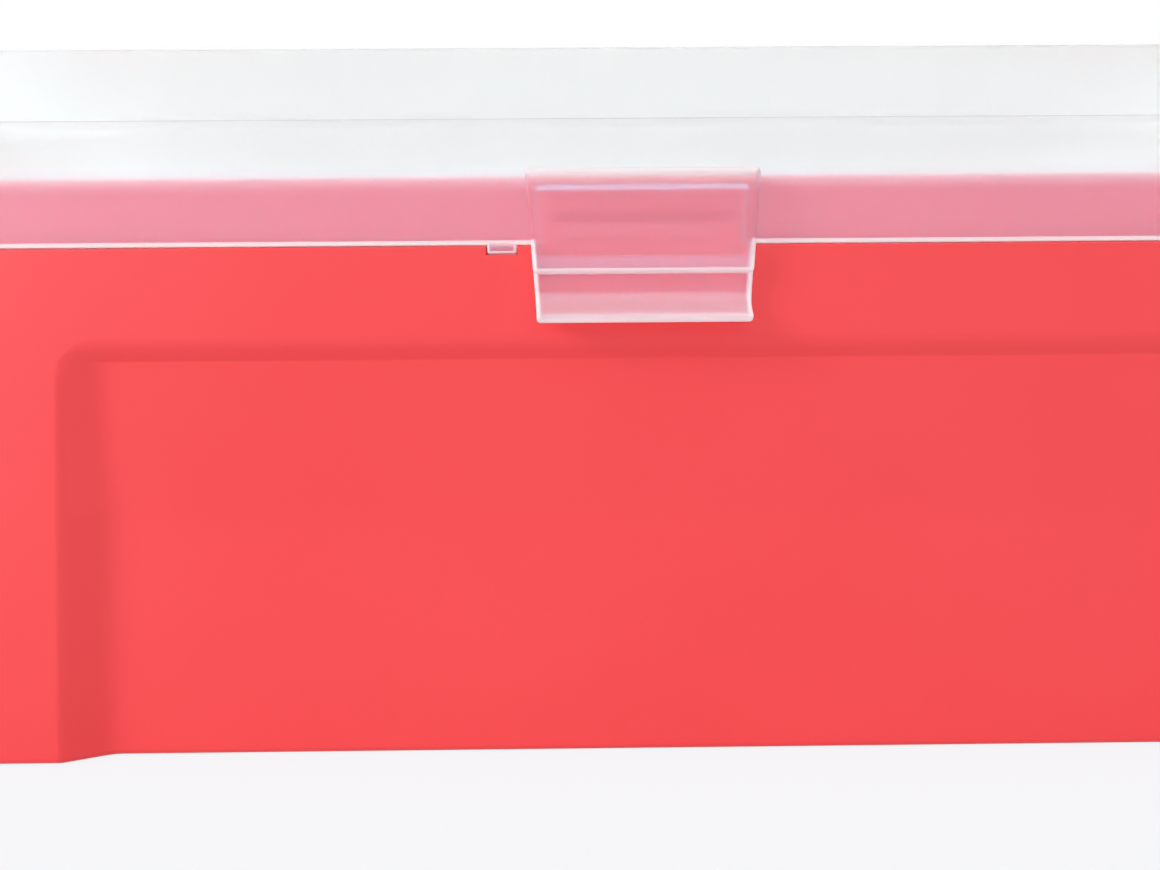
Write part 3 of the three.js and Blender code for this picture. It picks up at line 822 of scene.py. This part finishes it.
def make_plate():
    """The plate, with a chamfered hole for each tip."""
    low, high = plate_low.z, plate_high.z
    top, bottom = SEAT_RADIUS + HOLE_GAP, THROAT_RADIUS + HOLE_GAP
    work = bmesh.new()

    def ring(points, up):
        verts = [work.verts.new(Vector((x, y, up)) * MM) for x, y in points]
        edges = [work.edges.new((verts[k], verts[(k + 1) % len(verts)])) for k in range(len(verts))]
        return verts, edges

    def strip(upper, lower):
        for k in range(len(upper)):
            n = (k + 1) % len(upper)
            work.faces.new((upper[k], lower[k], lower[n], upper[n]))

    edge = PLATE_CHAMFER
    levels = ((edge, high), (0, high - edge), (0, low + edge), (edge, low))
    rings = [ring(plate_outline(inset), up) for inset, up in levels]
    for upper, lower in zip(rings, rings[1:]):
        strip(upper[0], lower[0])
    top_edges, bottom_edges = list(rings[0][1]), list(rings[-1][1])
    edge, lower_edge = HOLE_CHAMFER, HOLE_CHAMFER / 2
    levels = ((top + edge, high), (top, high - edge), (bottom, low + lower_edge), (bottom + lower_edge, low))
    for row in range(len(ROW_NAMES)):
        for column in range(COLUMNS):
            x, y = grid_place(row, column)
            bore = [ring(circle(x, y, radius, HOLE_SIDES), up) for radius, up in levels]
            for upper, lower in zip(bore, bore[1:]):
                strip(lower[0], upper[0])
            top_edges += bore[0][1]
            bottom_edges += bore[-1][1]
    for edges in (top_edges, bottom_edges):
        bmesh.ops.triangle_fill(work, use_beauty=True, use_dissolve=False, edges=edges)
    bmesh.ops.recalc_face_normals(work, faces=work.faces)
    plate = from_work("rack_plate", work, [white_plastic])
    return finished(plate, "rack", "white_polypropylene", "tip_plate", sharp=30)


def turned(profile, sides, places, ribs=None):
    """Points and faces of a closed half-section of (radius, drop) turned about each place's axis.
    ribs(radius, drop) gives how far every third side stands out."""
    points, faces = [], []
    count = len(profile)
    for x, y in places:
        start = len(points)
        for k in range(sides):
            turn = 2 * math.pi * k / sides
            for radius, drop in profile:
                out = radius + (ribs(radius, drop) if ribs and k % 3 == 0 else 0)
                points.append((x + out * math.cos(turn), y + out * math.sin(turn), TIP_TOP - drop))
        for k in range(sides):
            a, b = start + k * count, start + (k + 1) % sides * count
            for m in range(count):
                n = (m + 1) % count
                faces.append((a + n, b + n, b + m, a + m))
    return points, faces


def tip_profile():
    """A tip's closed half-section, from its mouth down the outside and back up the bore."""
    shoulder = BORE_CONE + TIP_WALL
    narrowing = (ORIFICE_RADIUS + TIP_WALL / 2 - shoulder) / (TIP_LENGTH - CONE_START)
    outer = lambda drop: shoulder + narrowing * (drop - CONE_START)
    collar = COLLAR_RADIUS - COLLAR_RIB
    line = [
        (MOUTH_RADIUS + 0.35, 0.0), (collar - 0.15, 0.0), (collar, 0.15), (collar, 0.9), (collar - 0.2, 1.1),
        (collar - 0.2, COLLAR_HEIGHT - 0.2), (collar - 0.4, COLLAR_HEIGHT), (SEAT_RADIUS, COLLAR_HEIGHT),
        (THROAT_RADIUS, PLATE_DEPTH), (shoulder, CONE_START),
    ]
    for mark in RING_MARKS:
        proud = outer(mark) + RING_PROUD
        line += [(outer(mark - 0.15), mark - 0.15), (proud, mark - 0.07), (proud, mark + 0.07),
                 (outer(mark + 0.15), mark + 0.15)]
    line += [
        (outer(TIP_LENGTH - 0.1), TIP_LENGTH - 0.1), (outer(TIP_LENGTH) - 0.06, TIP_LENGTH),
        (ORIFICE_RADIUS, TIP_LENGTH), (BORE_CONE, CONE_START), (BORE_PLATE, PLATE_DEPTH), (MOUTH_RADIUS, 0.3),
    ]
    return line


def collar_ribs(radius, drop):
    return COLLAR_RIB if radius > SEAT_RADIUS + 0.1 and 0 < drop < COLLAR_HEIGHT else 0.0


def plug_profile():
    """A filter plug's half-section, which starts and ends on its axis."""
    radius, edge = BORE_CONE - FILTER_GAP, 0.12
    start, end = FILTER_START, FILTER_START + FILTER_LENGTH
    return [(0.0, start), (radius - edge, start), (radius, start + edge), (radius, end - edge),
            (radius - edge, end), (0.0, end)]


def make_row(kind, letter, mesh, material, slot, sharp):
    """A row of tips or plugs, which stands for the CAD nodes of that row."""
    row = as_piece(f"{kind}s_{letter}", *mesh, [material])
    names = [f"{kind}_{letter}{column + 1}" for column in range(COLUMNS)]
    finished(row, "rack", slot, *[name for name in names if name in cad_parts], sharp=sharp)


def make_tips():
    for row, letter in enumerate(ROW_NAMES):
        places = [grid_place(row, column) for column in range(COLUMNS)]
        tips = turned(tip_profile(), TIP_SIDES, places, collar_ribs)
        make_row("tip", letter, tips, natural_plastic, "natural_polypropylene", 40)
        plugs = turned(plug_profile(), FILTER_SIDES, places)
        make_row("filter", letter, plugs, porous_plastic, "porous_polyethylene", 50)


# ---- The stage ---------------------------------------------------------------------------------

def make_floor():
    """A pale floor that takes the object's shadow, and is nearly white where it is looked at."""
    material, sheet = new_material("pale_floor")
    matt = sheet.add("ShaderNodeBsdfPrincipled", {}, {
        "Base Color": (0.77, 0.80, 0.84, 1), "Roughness": 0.9, "Specular IOR Level": 0.1})["BSDF"]
    white = sheet.add("ShaderNodeEmission", {}, {
        "Color": (0.955, 0.985, 1.0, 1), "Strength": 1.0})["Emission"]
    share = sheet.shown() * FLOOR_WHITE
    surface = sheet.add("ShaderNodeMixShader", {}, {0: share, 1: matt, 2: white})["Shader"]
    sheet.output("ShaderNodeOutputMaterial", surface)
    corners = ((-1, -1), (1, -1), (1, 1), (-1, 1))
    points = [(x * FLOOR_REACH, y * FLOOR_REACH, -FLOOR_GAP) for x, y in corners]
    as_piece("floor", points, [(0, 1, 2, 3)], [material])


def make_world():
    """Soft light from all round, in front of a white backdrop."""
    world = bpy.data.worlds.new("soft_box")
    bpy.context.scene.world = world
    world.use_nodes = True
    sheet = Sheet(world.node_tree)
    glow = lambda colour, strength: sheet.add(
        "ShaderNodeBackground", {}, {"Color": colour, "Strength": strength})["Background"]
    lighting, white = glow((0.97, 0.98, 1.0, 1), 0.855), glow((1.0, 1.0, 1.0, 1), 1.0)
    mixed = sheet.add("ShaderNodeMixShader", {}, {0: sheet.shown(), 1: lighting, 2: white})["Shader"]
    sheet.output("ShaderNodeOutputWorld", mixed)


def make_lamp(name, place, target, size, power):
    """A round lamp, placed in metres, that faces the target."""
    lamp = bpy.data.lights.new(name, "AREA")
    lamp.shape, lamp.size, lamp.energy = "DISK", size, power
    holder = bpy.data.objects.new(name, lamp)
    holder.location = place
    holder.rotation_euler = (Vector(target) - Vector(place)).to_track_quat("-Z", "Y").to_euler()
    bpy.context.scene.collection.objects.link(holder)


def make_camera():
    camera = bpy.data.cameras.new("camera")
    camera.sensor_width, camera.lens = 36.0, 27.93
    camera.clip_start, camera.clip_end = 0.005, 20.0
    holder = bpy.data.objects.new("camera", camera)
    holder.location = Vector((CAMERA_X, -(WIDTH / 2 + CAMERA_AWAY), CAMERA_UP)) * MM
    holder.rotation_euler = [math.radians(angle) for angle in (90, CAMERA_ROLL, CAMERA_TURN)]
    bpy.context.scene.collection.objects.link(holder)
    bpy.context.scene.camera = holder


make_base()
make_lid()
make_plate()
make_tips()
make_floor()
make_world()
make_lamp("key", (-0.55, -0.36, 0.30), (0, 0, 0.03), 0.3, 1.9)
make_camera()
bpy.context.scene.view_settings.view_transform = "Standard"
